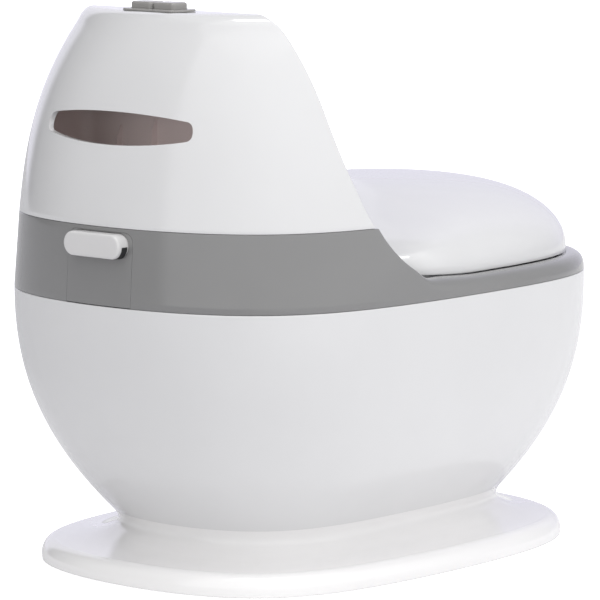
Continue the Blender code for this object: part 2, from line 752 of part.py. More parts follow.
# ---------------------------------------------------------------- flush module in the tank roof
housing_rings = [
    rounded_box(42.4, 16.2, 4.6, 0.0, FLUSH_Y, 344.8),
    rounded_box(42.4, 16.2, 4.6, 0.0, FLUSH_Y, 370.2),
    rounded_box(50.0, 24.0, 7.0, 0.0, FLUSH_Y, 370.2),
    rounded_box(50.0, 24.0, 7.0, 0.0, FLUSH_Y, 370.9),
    rounded_box(48.6, 22.6, 6.4, 0.0, FLUSH_Y, 371.5),
    rounded_box(40.2, 15.0, 3.4, 0.0, FLUSH_Y, 371.5),
    rounded_box(40.2, 15.0, 3.4, 0.0, FLUSH_Y, 348.8),
]
flush_housing = loft("flush_housing", housing_rings, "button_grey")

for side, sx in (("right", -1), ("left", 1)):
    cx = sx * 9.95
    rings = [
        rounded_box(19.1, 14.2, 2.8, cx, FLUSH_Y, 362.0, 3),
        rounded_box(19.1, 14.2, 2.8, cx, FLUSH_Y, 374.4, 3),
        rounded_box(18.1, 13.2, 2.4, cx, FLUSH_Y, 375.6, 3),
        rounded_box(15.0, 10.0, 1.6, cx, FLUSH_Y, 376.2, 3),
    ]
    button = loft("flush_button_" + side, rings, "button_grey")
    move_origin(button, cx, FLUSH_Y, 362.0)
    coil("flush_spring_" + side, 3.8, 0.4, 350.9, 361.6, "Z", (cx, FLUSH_Y, 0.0), 4)

block("sound_board", (-19.0, FLUSH_Y - 6.6, 349.1), (19.0, FLUSH_Y + 6.6, 350.6), "board_green")

case_rings = [
    rounded_box(62.0, 28.0, 4.0, 0.0, FLUSH_Y, 344.5),
    rounded_box(62.0, 28.0, 4.0, 0.0, FLUSH_Y, 316.0),
    rounded_box(58.0, 24.4, 2.0, 0.0, FLUSH_Y, 316.0),
    rounded_box(58.0, 24.4, 2.0, 0.0, FLUSH_Y, 342.2),
]
battery_case = loft("battery_case", case_rings, "inner_plastic")
for n, sx in enumerate((-1, 1)):
    spot = (sx * 17.0, FLUSH_Y, 340.0)
    hole = turned("guide_case_screw_hole_%d" % n, ((1.6, 0.0), (1.6, 7.4)), spot, "Z", "steel", 10)
    cut(battery_case, hole)
    cut(flush_housing, hole)
    shape = ((2.0, 0.0), (2.8, 0.8), (2.8, 1.8), (1.2, 1.8), (1.2, 6.2), (0.4, 6.8))
    turned("case_screw_%d" % (n + 1), shape, (sx * 17.0, FLUSH_Y, 340.1), "Z", "steel", 10)

speaker_shape = ((9.0, 0.0), (11.0, 1.0), (11.0, 3.4), (6.0, 3.4), (6.0, 6.0), (5.0, 6.6))
turned("speaker", speaker_shape, (0.0, FLUSH_Y, 334.8), "Z", "black_plastic", 16)

battery_shape = ((5.0, 0.0), (5.2, 0.3), (5.2, 43.2), (1.9, 43.2), (1.9, 44.3))
for n, dy in enumerate((-6.0, 6.0)):
    turned("battery_%d" % (n + 1), battery_shape, (-22.0, FLUSH_Y + dy, 326.0), "X", "battery", 14)

block("battery_door", (-28.4, FLUSH_Y - 11.8, 316.6), (28.4, FLUSH_Y + 11.8, 319.0), "inner_plastic", 1.6)
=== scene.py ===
"""Looks of the potty training chair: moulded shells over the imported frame, floor, lights and camera."""
import json
import math

import bmesh
import bpy
from mathutils import Matrix, Vector


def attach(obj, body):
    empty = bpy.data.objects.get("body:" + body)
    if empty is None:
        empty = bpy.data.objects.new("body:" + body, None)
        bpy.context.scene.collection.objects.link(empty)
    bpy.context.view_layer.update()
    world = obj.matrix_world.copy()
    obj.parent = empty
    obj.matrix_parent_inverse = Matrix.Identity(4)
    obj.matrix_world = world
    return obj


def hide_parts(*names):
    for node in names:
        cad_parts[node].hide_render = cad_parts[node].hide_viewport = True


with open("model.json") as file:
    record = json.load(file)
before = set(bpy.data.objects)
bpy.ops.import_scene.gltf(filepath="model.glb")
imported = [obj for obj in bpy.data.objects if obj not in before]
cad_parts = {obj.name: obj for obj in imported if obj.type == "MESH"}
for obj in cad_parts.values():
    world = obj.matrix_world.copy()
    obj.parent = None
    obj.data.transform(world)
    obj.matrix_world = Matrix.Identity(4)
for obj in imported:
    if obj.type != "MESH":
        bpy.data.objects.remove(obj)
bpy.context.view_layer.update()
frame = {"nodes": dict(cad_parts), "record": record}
scene = bpy.context.scene
MM = 0.001

# ------------------------------------------------------------------ shape constants, millimetres
BAND_X = (160.7, 1.9, 13.3)
BAND_Y = (205.8, -0.2, -5.0)
BAND_HALF_WIDTH = 147.6
BAND_HALF_LENGTH = 200.8
FOOT_X = (144.8, 0.2, 9.6)
FOOT_Y = (192.0, 0.2, -8.4)
FOOT_HALF_WIDTH = 135.4
FOOT_HALF_LENGTH = 183.8
FOOT_EDGE_TOP = 15.0
NECK_Z = 27.7
BAND_BOTTOM = 184.6
BAND_TOP = 235.0
DECK_Z = 195.0
RIM_Z = 194.0
LIP_Z = 196.5
DECK_WALL = 2.6
WALL = 3.0
WING_Y0 = 8.5
WING_REACH = 101.1
WING_RISE = 116.0
WING_POWER = 2.136
WING_LEAN = 0.12
BACK_Y_LOW = 114.0
BACK_Y_HIGH = 122.0
LID_INSET = 11.4
LID_EDGE_Z = 197.1
LID_RISE = 49.4
LID_FULL = (2.9, 2.45)
LID_CENTRE_Y = -82.0
LID_REAR_START = -10.0
LID_REAR_BLEND = 72.0
REAR_LIFT = 2.8
OPENING = (84.0, 100.0)
OPENING_Y = -70.0
RING_OPENING = (68.0, 84.0)
FLUSH_Y = 141.0
FLUSH_HOLE = (45.8, 18.2)
PANEL_HALF = 28.6
PANEL_TOP = 232.5
LATCH_Z = 223.8
CAP_WIDE = 50.0
CAP_TALL = 15.8
ROOF_Z = 370.0
TANK_BOTTOM = 235.2


# ------------------------------------------------------------------ materials
def srgb(*rgb):
    """Display colour 0-255 to linear."""
    out = []
    for v in rgb:
        v = v / 255.0
        out.append(v / 12.92 if v <= 0.04045 else ((v + 0.055) / 1.055) ** 2.4)
    return (*out, 1.0)


class Graph:
    """Small helper round a material's node tree."""

    def __init__(self, name):
        self.mat = bpy.data.materials.new(name)
        self.mat.use_nodes = True
        self.nodes = self.mat.node_tree.nodes
        self.links = self.mat.node_tree.links
        self.shader = self.nodes["Principled BSDF"]
        self.coord = self.nodes.new("ShaderNodeTexCoord").outputs["Object"]

    def add(self, kind, **inputs):
        node = self.nodes.new(kind)
        for key, value in inputs.items():
            node.inputs[key.replace("_", " ")].default_value = value
        return node

    def noise(self, scale, detail=2.0, rough=0.5):
        node = self.add("ShaderNodeTexNoise", Scale=scale, Detail=detail, Roughness=rough)
        self.links.new(self.coord, node.inputs["Vector"])
        return node.outputs["Fac"]

    def span(self, value, low, high, start=0.3, end=0.7):
        node = self.add("ShaderNodeMapRange")
        node.inputs["From Min"].default_value = start
        node.inputs["From Max"].default_value = end
        node.inputs["To Min"].default_value = low
        node.inputs["To Max"].default_value = high
        self.links.new(value, node.inputs["Value"])
        return node.outputs["Result"]

    def blend(self, share, a, b):
        node = self.nodes.new("ShaderNodeMix")
        node.data_type = "RGBA"
        self.links.new(share, node.inputs["Factor"])
        for socket, value in ((6, a), (7, b)):
            if isinstance(value, tuple):
                node.inputs[socket].default_value = value
            else:
                self.links.new(value, node.inputs[socket])
        return node.outputs[2]

    def bump(self, height, strength, distance):
        node = self.add("ShaderNodeBump", Strength=strength, Distance=distance)
        self.links.new(height, node.inputs["Height"])
        self.links.new(node.outputs["Normal"], self.shader.inputs["Normal"])

    def to(self, socket, value):
        self.links.new(value, self.shader.inputs[socket])


def moulded(name, light, dark, rough, coat=0.0, peel=0.02, peel_scale=260.0, grain=0.0):
    """Injection-moulded plastic: faint flow marks, uneven gloss and a fine orange peel."""
    g = Graph(name)
    flow = g.noise(9.0, 3.0, 0.55)
    g.to("Base Color", g.blend(g.span(flow, 0.0, 1.0), light, dark))
    g.to("Roughness", g.span(g.noise(22.0, 4.0), rough * 0.82, rough * 1.2))
    g.shader.inputs["Coat Weight"].default_value = coat
    g.shader.inputs["Coat Roughness"].default_value = 0.06
    g.shader.inputs["IOR"].default_value = 1.5
    g.bump(g.noise(grain or peel_scale, 2.0), peel, 0.0006 if not grain else 0.0012)
    return g.mat


def metal(name, tone, rough):
    """Drawn steel with fine uneven polish."""
    g = Graph(name)
    g.shader.inputs["Metallic"].default_value = 1.0
    g.to("Base Color", g.blend(g.span(g.noise(140.0), 0.0, 1.0), tone, srgb(150, 150, 155)))
    g.to("Roughness", g.span(g.noise(420.0, 3.0), rough * 0.7, rough * 1.4))
    g.bump(g.noise(900.0), 0.05, 0.0003)
    return g.mat


LOOK = {
    "white_gloss": moulded("white_gloss_plastic", srgb(220, 220, 221), srgb(217, 217, 218), 0.12, 1.0),
    # painted light: the foot's copy of the white plastic is made lighter to stand in for light the shaded
    # foot lacks
    "foot_lit_white": moulded("foot_plastic_painted_light", srgb(240, 239, 239), srgb(237, 236, 236), 0.12, 1.0),
    "grey_gloss": moulded("grey_gloss_plastic", srgb(129, 129, 129), srgb(125, 125, 125), 0.16, 0.7),
    "seat_white": moulded("seat_plastic", srgb(228, 228, 231), srgb(222, 222, 226), 0.24, 0.1),
    "pot_grey": moulded("pot_plastic", srgb(190, 192, 196), srgb(182, 184, 189), 0.28, 0.1),
    "button_white": moulded("button_plastic", srgb(216, 215, 215), srgb(211, 210, 211), 0.2, 0.2),
    "button_grey": moulded("bezel_plastic", srgb(152, 150, 147), srgb(146, 144, 142), 0.2, 0.6),
    "inner_plastic": moulded(
        "inner_plastic", srgb(212, 211, 213), srgb(204, 203, 206), 0.5, 0.0, 0.12, grain=600.0
    ),
    # the wipes tray's plastic also carries a painted glow light, added below
    "wipes_tray": moulded(
        "tray_plastic_painted_glow", srgb(214, 199, 196), srgb(206, 191, 188), 0.5, 0.0, 0.12, grain=600.0
    ),
    "black_plastic": moulded("black_plastic", srgb(40, 40, 42), srgb(30, 30, 32), 0.5, 0.0, 0.1, grain=700.0),
    "rubber": moulded("pad_rubber", srgb(70, 70, 72), srgb(58, 58, 60), 0.75, 0.0, 0.2, grain=500.0),
    "board_green": moulded(
        "circuit_board", srgb(38, 112, 74), srgb(26, 92, 60), 0.4, 0.3, 0.15, grain=380.0
    ),
    "battery": moulded("battery_sleeve", srgb(92, 140, 100), srgb(60, 66, 70), 0.3, 0.4),
    "steel": metal("bright_steel", srgb(205, 205, 210), 0.28),
}


def paint_tray_glow_light(mat, low, high, reach):
    """Painted light: a faint emission glow on the tray that stands in for the light reaching the tank's
    inside, rising toward -X.
    """
    nodes, links = mat.node_tree.nodes, mat.node_tree.links
    split = nodes.new("ShaderNodeSeparateXYZ")
    links.new(nodes.new("ShaderNodeTexCoord").outputs["Object"], split.inputs[0])
    rise = nodes.new("ShaderNodeMapRange")
    for key, value in (("From Min", reach), ("From Max", -reach), ("To Min", low), ("To Max", high)):
        rise.inputs[key].default_value = value
    links.new(split.outputs["X"], rise.inputs["Value"])
    shader = nodes["Principled BSDF"]
    shader.inputs["Emission Color"].default_value = (1.0, 0.86, 0.85, 1.0)
    links.new(rise.outputs["Result"], shader.inputs["Emission Strength"])


# painted light: the wipes tray glows faintly, brighter toward -X
paint_tray_glow_light(LOOK["wipes_tray"], 0.005, 0.15, 0.06)

SLOT_OF = {entry["node"]: entry["material_slot"] for entry in frame["record"]["subparts"]}
for node_name, node in frame["nodes"].items():
    node.data.materials.clear()
    node.data.materials.append(LOOK[SLOT_OF[node_name]])
    node.data.shade_smooth()
    node.data.set_sharp_from_angle(angle=math.radians(32))


# ------------------------------------------------------------------ mesh helpers
def finish_mesh(name, verts, faces, slot, smooth=40.0):
    mesh = bpy.data.meshes.new(name)
    mesh.from_pydata([(x * MM, y * MM, z * MM) for x, y, z in verts], [], faces)
    work = bmesh.new()
    work.from_mesh(mesh)
    bmesh.ops.remove_doubles(work, verts=work.verts, dist=2e-6)
    bmesh.ops.recalc_face_normals(work, faces=work.faces)
    if work.calc_volume(signed=True) < 0:
        bmesh.ops.reverse_faces(work, faces=work.faces)
    work.to_mesh(mesh)
    work.free()
    mesh.materials.append(LOOK[slot])
    mesh.shade_smooth()
    mesh.set_sharp_from_angle(angle=math.radians(smooth))
    obj = bpy.data.objects.new(name, mesh)
    scene.collection.objects.link(obj)
    return obj


def loft(name, rings, slot, closed_loop=False, smooth=40.0):
    count = len(rings[0])
    verts = [point for ring in rings for point in ring]
    faces = []
    spans = len(rings) if closed_loop else len(rings) - 1
    for i in range(spans):
        a = i * count
        b = ((i + 1) % len(rings)) * count
        for j in range(count):
            k = (j + 1) % count
            faces.append((a + j, a + k, b + k, b + j))
    if not closed_loop:
        last = (len(rings) - 1) * count
        faces.append(tuple(range(count)))
        faces.append(tuple(range(last, last + count)))
    return finish_mesh(name, verts, faces, slot, smooth)


def place(piece, body, slot, *nodes):
    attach(piece, body)
    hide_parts(*nodes)
    return piece


# ------------------------------------------------------------------ outlines
def rounded_box(wide, deep, radius, cx, cy, z, per_corner=10):
    ring = []
    for sx, sy, start in ((1, 1, 0), (-1, 1, 90), (-1, -1, 180), (1, -1, 270)):
        ox = cx + sx * (wide / 2 - radius)
        oy = cy + sy * (deep / 2 - radius)
        for i in range(per_corner + 1):
            a = math.radians(start + 90.0 * i / per_corner)
            ring.append((ox + radius * math.cos(a), oy + radius * math.sin(a), z))
    return ring


def harmonic(t, xs, ys, half_w, half_l, inset, shift):
    x = sum(a * math.sin((k + 1) * t) for k, a in enumerate(xs))
    y = sum(b * math.cos((k + 1) * t) for k, b in enumerate(ys))
    return x * (1 - inset / half_w), y * (1 - inset / half_l) + shift


def band(t, inset=0.0, shift=0.0):
    return harmonic(t, BAND_X, BAND_Y, BAND_HALF_WIDTH, BAND_HALF_LENGTH, inset, shift)


def foot(t, inset=0.0):
    return harmonic(t, FOOT_X, FOOT_Y, FOOT_HALF_WIDTH, FOOT_HALF_LENGTH, inset, 0.8)


def bowl_inset(z):
    return 37.8 * (max(184.4 - z, 0.0) / 129.0) ** 2.41


def bowl_shift(z):
    return -5.2 * (max(184.0 - z, 0.0) / 150.0) ** 1.5


def tank_inset(z):
    up = max(z - BAND_TOP, 0.0)
    lean = 3.4 * min(max(z - BAND_BOTTOM, 0.0) / 50.4, 1.0)
    return lean + 0.092 * up + 26.6 * (up / 130.0) ** 2.66


def wing_y(z):
    v = min(max((z - RIM_Z) / WING_RISE, 0.0), 1.0)
    sweep = (1 - (1 - v) ** WING_POWER) ** (1 / WING_POWER)
    return WING_Y0 + WING_REACH * sweep + WING_LEAN * max(z - 260.0, 0.0)


def bisect(low, high, test):
    """The place where test turns from true to false."""
    for _ in range(48):
        mid = 0.5 * (low + high)
        if test(mid):
            low = mid
        else:
            high = mid
    return 0.5 * (low + high)


def wing_height(y):
    if y <= WING_Y0:
        return RIM_Z
    if y >= wing_y(BAND_TOP):
        return BAND_TOP
    return bisect(RIM_Z, BAND_TOP, lambda z: wing_y(z) < y)


def angle_at_y(y, inset):
    return bisect(0.0, math.pi, lambda t: band(t, inset)[1] > y)


def ellipse(t, rx, ry, cy):
    return rx * math.sin(t), cy + ry * math.cos(t)


def smooth_step(v):
    v = min(max(v, 0.0), 1.0)
    return v * v * (3 - 2 * v)


def mix(a, b, w):
    return tuple(p + (q - p) * w for p, q in zip(a, b))


def levels(low, high, count):
    return [low + (high - low) * (i / (count - 1)) for i in range(count)]


def quarter(start, end, bulge, steps=4):
    """Points of a rounded corner from start to end round the corner point bulge, in (inset, z)."""
    out = []
    for i in range(steps + 1):
        w = i / steps
        a = mix(start, bulge, w)
        b = mix(bulge, end, w)
        out.append(mix(a, b, w))
    return out


FINE = 224
TURN = [2 * math.pi * i / FINE for i in range(FINE)]


# ------------------------------------------------------------------ pedestal foot
def foot_ring(inset, z):
    return [(*foot(t, inset), z) for t in TURN]


def foot_slope(share, drop=0.0):
    z = FOOT_EDGE_TOP + 4.0 * share + (NECK_Z - FOOT_EDGE_TOP - 4.0) * share ** 4 - drop
    ring = []
    for t in TURN:
        a = foot(t, 8.0)
        b = band(t, 60.0, bowl_shift(28.0))
        ring.append((a[0] + (b[0] - a[0]) * share, a[1] + (b[1] - a[1]) * share, z))
    return ring


def collar_ring(share):
    """The soft fillet that hides the joint between foot and bowl."""
    low = foot_slope(COLLAR_START)
    ring = []
    for t, start in zip(TURN, low):
        corner = (*band(t, 60.0, bowl_shift(28.0)), NECK_Z)
        top = (*band(t, bowl_inset(COLLAR_Z) - 0.05, bowl_shift(COLLAR_Z)), COLLAR_Z)
        ring.append(mix(mix(start, corner, share), mix(corner, top, share), share))
    return ring


def collar_back(inset, z):
    return [(*band(t, inset, bowl_shift(z)), z) for t in TURN]


COLLAR_Z = 34.5
COLLAR_START = 0.86
SLOPE = levels(0.0, 1.0, 22)
foot_rings = [collar_back(64.0, 27.7), collar_back(61.4, 27.8), collar_back(59.4, 28.6)]
foot_rings += [collar_back(bowl_inset(COLLAR_Z) - 0.02, COLLAR_Z)]
foot_rings += [collar_ring(1 - i / 12) for i in range(12)]
foot_rings += [foot_slope(COLLAR_START * s) for s in reversed(SLOPE)]
foot_rings += [foot_ring(i, z) for i, z in quarter((7.6, 15.0), (0.0, 6.0), (1.4, 13.9), 12)]
foot_rings += [foot_ring(0.0, 3.4)]
foot_rings += [foot_ring(i, z) for i, z in quarter((0.1, 1.2), (0.9, 0.4), (0.1, 0.4), 3)]
foot_rings += [foot_ring(2.9, 0.4), foot_ring(3.2, 1.0), foot_ring(20.0, 1.0), foot_ring(20.0, 4.0)]
foot_rings += [foot_ring(3.2, 4.0), foot_ring(3.4, 8.6), foot_ring(6.6, 11.4)]
foot_rings += [foot_slope(s, 3.0) for s in SLOPE[3:]]
# the foot wears the lightened copy of the white plastic, painted light
foot_piece = loft("pedestal_foot_shell", foot_rings, "foot_lit_white")
place(foot_piece, "base", "white_gloss", "pedestal_foot")


# ------------------------------------------------------------------ bowl
def bowl_ring(z, extra):
    return [(*band(t, bowl_inset(z) + extra, bowl_shift(z)), z) for t in TURN]


bowl_rings = [bowl_ring(28.0, 1.2), bowl_ring(28.2, 0.5), bowl_ring(28.8, 0.0)]
bowl_rings += [bowl_ring(z, 0.0) for z in levels(31.0, 182.8, 40)]
bowl_rings += [bowl_ring(z, e) for e, z in quarter((0.0, 183.9), (0.4, 184.35), (0.0, 184.35), 3)]
bowl_rings += [bowl_ring(184.35, 2.8)]
bowl_rings += [bowl_ring(z, WALL + 1.6 * max(110.0 - z, 0.0) / 70.0) for z in levels(183.6, 36.0, 16)]
bowl_piece = loft("bowl_moulding", bowl_rings, "white_gloss")
place(bowl_piece, "base", "white_gloss", "bowl_shell")


# ------------------------------------------------------------------ seat deck and its grey band
def rear_lift(y):
    """How far the rim and the lid's edge rise toward the rear, ahead of the wing."""
    return REAR_LIFT * smooth_step((y + 16.0) / 72.0)


def deck_section(t):
    """One cross-section of the deck: rim in front, standing wall beside and behind the tank."""
    y = band(t, 1.5)[1]
    high = wing_height(y)
    lean = tank_inset(high)
    w = smooth_step((high - RIM_Z) / 12.0)
    lift = rear_lift(y)
    rim = quarter((0.25, 187.6), (8.2, 196.3), (0.9, 196.0), 7)
    rim += quarter((9.4, LIP_Z), (12.6, 195.4), (12.3, 196.6), 6)
    rim = [(inset, z + lift) for inset, z in rim] + [(13.0, DECK_Z)]
    wall = quarter((lean - 0.02, high - 0.6), (lean + 0.6, high), (lean, high), 7)
    inside = lean + DECK_WALL
    wall += quarter((lean + 1.6, high), (inside, high - 1.0), (inside, high), 6)
    wall += [(inside, DECK_Z)]
    points = []
    for inset, z in quarter((0.4, BAND_BOTTOM), (0.0, BAND_BOTTOM + 0.4), (0.0, BAND_BOTTOM), 3):
        points.append((*band(t, inset), z))
    foot_inset, foot_z = 0.02, BAND_BOTTOM + 0.5
    first_inset, first_z = mix(rim[0], wall[0], w)
    for i in range(1, 12):
        share = i / 12
        z = foot_z + (first_z - foot_z) * share
        inset = foot_inset + (first_inset - foot_inset) * share
        points.append((*band(t, inset), z))
    for r, q in zip(rim, wall):
        inset, z = mix(r, q, w)
        points.append((*band(t, inset), z))
    points.append((*ellipse(t, OPENING[0] + 1.0, OPENING[1] + 1.0, OPENING_Y), DECK_Z))
    points.append((*ellipse(t, OPENING[0], OPENING[1], OPENING_Y), DECK_Z - 1.0))
    points.append((*ellipse(t, OPENING[0], OPENING[1], OPENING_Y), DECK_Z - WALL))
    for inset, z in ((7.2, DECK_Z - WALL), (7.2, 178.0), (4.6, 178.0), (4.4, BAND_BOTTOM)):
        points.append((*band(t, inset), z))
    return points


DECK_HALF = levels(0.0, 50.0, 34) + levels(50.6, 96.0, 90) + levels(97.0, 180.0, 60)
DECK_TURN = DECK_HALF + [360.0 - a for a in reversed(DECK_HALF[1:-1])]
deck_sections = [deck_section(math.radians(a)) for a in DECK_TURN]
deck_piece = loft("seat_deck_moulding", deck_sections, "grey_gloss", True)


def arch(half, top, bottom, y, corner=7.0, steps=10):
    ring = [(-half, y, bottom), (half, y, bottom)]
    for sx, start in ((1, 0), (-1, 90)):
        for i in range(steps + 1):
            a = math.radians(start + 90.0 * i / steps)
            x = sx * (half - corner) + corner * math.cos(a)
            ring.append((x, y, top - corner + corner * math.sin(a)))
    return ring


def stadium(wide, tall, y, cz, per_end=20):
    ring = []
    r = tall / 2
    for sx, start in ((1, -90), (-1, 90)):
        for i in range(per_end + 1):
            a = math.radians(start + 180.0 * i / per_end)
            ring.append((sx * (wide / 2 - r) + r * math.cos(a), y, cz + r * math.sin(a)))
    return ring


def carve(piece, cutter, operation="DIFFERENCE"):
    """Apply a Boolean and drop the cutter."""
    mod = piece.modifiers.new("carve", "BOOLEAN")
    mod.operation = operation
    mod.solver = "EXACT"
    mod.object = cutter
    graph = bpy.context.evaluated_depsgraph_get()
    mesh = bpy.data.meshes.new_from_object(piece.evaluated_get(graph))
    piece.modifiers.clear()
    piece.data = mesh
    mesh.shade_smooth()
    mesh.set_sharp_from_angle(angle=math.radians(40.0))
    bpy.data.objects.remove(cutter, do_unlink=True)


notch = [arch(PANEL_HALF + 0.16, PANEL_TOP + 0.16, 183.9, y) for y in (189.0, 215.0)]
carve(deck_piece, loft("notch_cutter", notch, "grey_gloss"))
place(deck_piece, "base", "grey_gloss", "seat_deck")

REAR = [math.radians(-24.0 + 0.75 * i) for i in range(65)]


def rear_arc(z, inset):
    return [(*band(t, tank_inset(z) + inset), z) for t in REAR]


panel_rings = [rear_arc(z, 0.0) + list(reversed(rear_arc(z, WALL))) for z in levels(180.0, 238.0, 24)]
panel_piece = loft("latch_panel_moulding", panel_rings, "grey_gloss")
trim_rings = [arch(PANEL_HALF, PANEL_TOP, 185.0, y) for y in (170.0, 220.0)]
carve(panel_piece, loft("trim_cutter", trim_rings, "grey_gloss"), "INTERSECT")
hole_rings = [stadium(CAP_WIDE + 0.9, CAP_TALL + 0.9, y, LATCH_Z) for y in (180.0, 215.0)]
carve(panel_piece, loft("hole_cutter", hole_rings, "grey_gloss"))
place(panel_piece, "base", "grey_gloss", "latch_panel")

# ------------------------------------------------------------------ rear push cap
def spring_bore(y):
    """A round blind bore that swallows the return spring as the cap goes in."""
    ring = []
    for start in (-90.0, 90.0):
        for i in range(21):
            a = math.radians(start + 180.0 * i / 20)
            ring.append((BORE_RADIUS * math.cos(a), y, LATCH_Z + BORE_RADIUS * math.sin(a)))
    return ring


BORE_RADIUS = 5.1
STEM = (36.0, 12.4)
FLANGE = (53.0, 18.6)
STEM_END = 184.0
FLANGE_FRONT = 188.0
FLANGE_BACK = 190.0
cap_rings = [spring_bore(FLANGE_FRONT), spring_bore(STEM_END)]
cap_rings += [stadium(*STEM, y, LATCH_Z) for y in (STEM_END, FLANGE_FRONT)]
cap_rings += [stadium(*FLANGE, y, LATCH_Z) for y in (FLANGE_FRONT, FLANGE_BACK)]
cap_rings += [stadium(CAP_WIDE, CAP_TALL, y, LATCH_Z) for y in (FLANGE_BACK, 197.0)]
for inset, y in quarter((0.0, 203.7), (1.7, 205.3), (0.1, 205.2), 8):
    cap_rings.append(stadium(CAP_WIDE - 2 * inset, CAP_TALL - 2 * inset, y, LATCH_Z))
cap_rings.append(stadium(CAP_WIDE - 7.0, CAP_TALL - 7.0, 205.4, LATCH_Z))
cap_piece = loft("release_push_cap", cap_rings, "button_white")
place(cap_piece, "release_body", "button_white", "release_button")


def gap_shade_ring(radius, angles, y):
    """A black arc round the cap's rounded end on the right: painted shade for the dark gap beside the cap."""
    centre = -(CAP_WIDE - CAP_TALL) / 2
    return [(centre + radius * math.cos(a), y, LATCH_Z + radius * math.sin(a)) for a in angles]


# painted shade: a black arc in the gap round the lower quarter of the cap's right end, where only shade falls
GAP_SHADE_ANGLES = [math.radians(180.0 + 5.0 * i) for i in range(17)]
gap_shade_rings = []
for y in (197.4, 202.4):
    outer = gap_shade_ring(CAP_TALL / 2 + 0.14, GAP_SHADE_ANGLES, y)
    inner = gap_shade_ring(CAP_TALL / 2 - 0.4, list(reversed(GAP_SHADE_ANGLES)), y)
    gap_shade_rings.append(outer + inner)
gap_shade_piece = loft("release_cap_gap_shade", gap_shade_rings, "black_plastic")
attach(gap_shade_piece, "release_body")


# ------------------------------------------------------------------ lid
def lid_outline(t, inset, wall):
    """The band's outline drawn in, with its rear pulled to a rounded hinge edge."""
    x, y = band(t, inset)
    if y > LID_REAR_START:
        reach = LID_REAR_BLEND - 0.9 * wall
        y = LID_REAR_START + reach * math.tanh((y - LID_REAR_START) / reach)
        x *= 1 - 0.25 * ((y - LID_REAR_START) / reach) ** 6
    return x, y


def lid_ring(share, wall, inset=0.0, drop=0.0):
    ring = []
    for t in TURN:
        edge = lid_outline(t, LID_INSET + wall + inset, wall)
        calm = ellipse(t, 124.0, 118.0, LID_CENTRE_Y)
        x, y = mix(edge, calm, 1 - share ** 4)
        rise = (LID_RISE - wall) * (1 - share ** LID_FULL[0]) ** (1 / LID_FULL[1])
        place_y = LID_CENTRE_Y + (y - LID_CENTRE_Y) * share
        z = LID_EDGE_Z + rear_lift(place_y) + 1.5 * (1 - share) + rise - drop
        ring.append((x * share, place_y, z))
    return ring


DOME = [1 - 0.97 * (i / 44) ** 1.7 for i in range(45)]
lid_rings = [lid_ring(s, 0.0) for s in reversed(DOME[1:])]
lid_rings += [lid_ring(1.0, 0.0, 0.0, -0.5), lid_ring(1.0, 0.0, 0.2, -0.1), lid_ring(1.0, 0.0, 0.7, 0.0)]
lid_rings += [lid_ring(1.0, 2.4), lid_ring(1.0, 2.9, 0.0, -0.3)]
lid_rings += [lid_ring(s, 3.0) for s in DOME[1::2]]
lid_piece = loft("lid_moulding", lid_rings, "white_gloss")
# notches in the rear edge that clear the hinge brackets as the lid swings
NOTCH_X = (87.6, 98.0)
NOTCH_Y = (44.0, 80.0)
NOTCH_Z = (190.0, 216.0)
for sx in (-1, 1):
    low, high = sorted(sx * x for x in NOTCH_X)
    corners = [(low, NOTCH_Y[0]), (high, NOTCH_Y[0]), (high, NOTCH_Y[1]), (low, NOTCH_Y[1])]
    notch_rings = [[(x, y, z) for x, y in corners] for z in NOTCH_Z]
    carve(lid_piece, loft("hinge_notch", notch_rings, "white_gloss"))
place(lid_piece, "lid_body", "white_gloss", "lid")

# ------------------------------------------------------------------ tank cover
SLOT_ANGLE = bisect(0.0, 1.2, lambda t: band(t, tank_inset(297.6))[0] < 64.0)
SLOT_MID = 297.6
SLOT_STRAIGHT = 0.925


def slot_edge(s, side):
    """Height of the wipes slot's upper (+1) or lower (-1) edge at s from -1 to 1 along it."""
    past = max((abs(s) - SLOT_STRAIGHT) / (1 - SLOT_STRAIGHT), 0.0)
    close = max(1 - past ** 2.4, 0.0) ** (1 / 2.4)
    if side > 0:
        return SLOT_MID + (10.4 - 4.6 * s * s) * close
    return SLOT_MID - (10.6 - 5.4 * s * s) * close


def corner_join(before, corner, after, steps=6):
    out = []
    for i in range(1, steps):
        w = i / steps
        out.append(mix(mix(before, corner, w), mix(corner, after, w), w))
    return out


SLOT_COLUMNS = 61
SIDE_COLUMNS = 34
FRONT_COLUMNS = 61
CORNER_STEPS = 6


def front_curve(x, x_edge, edge_y, mid_y):
    """The tank's front, dished in the middle."""
    return mid_y + (edge_y - mid_y) * abs(x / x_edge) ** 3


def rear_angles(t_edge):
    """Column angles: fine across the slot, then on to the wing edge on each side."""
    inner = []
    for i in range(SLOT_COLUMNS):
        inner.append(SLOT_ANGLE * math.sin(math.pi * (i / (SLOT_COLUMNS - 1) - 0.5)))
    outer = []
    for i in range(SIDE_COLUMNS):
        outer.append(SLOT_ANGLE + (t_edge - SLOT_ANGLE) * (i + 1) / SIDE_COLUMNS)
    return [-t for t in reversed(outer)] + inner + outer


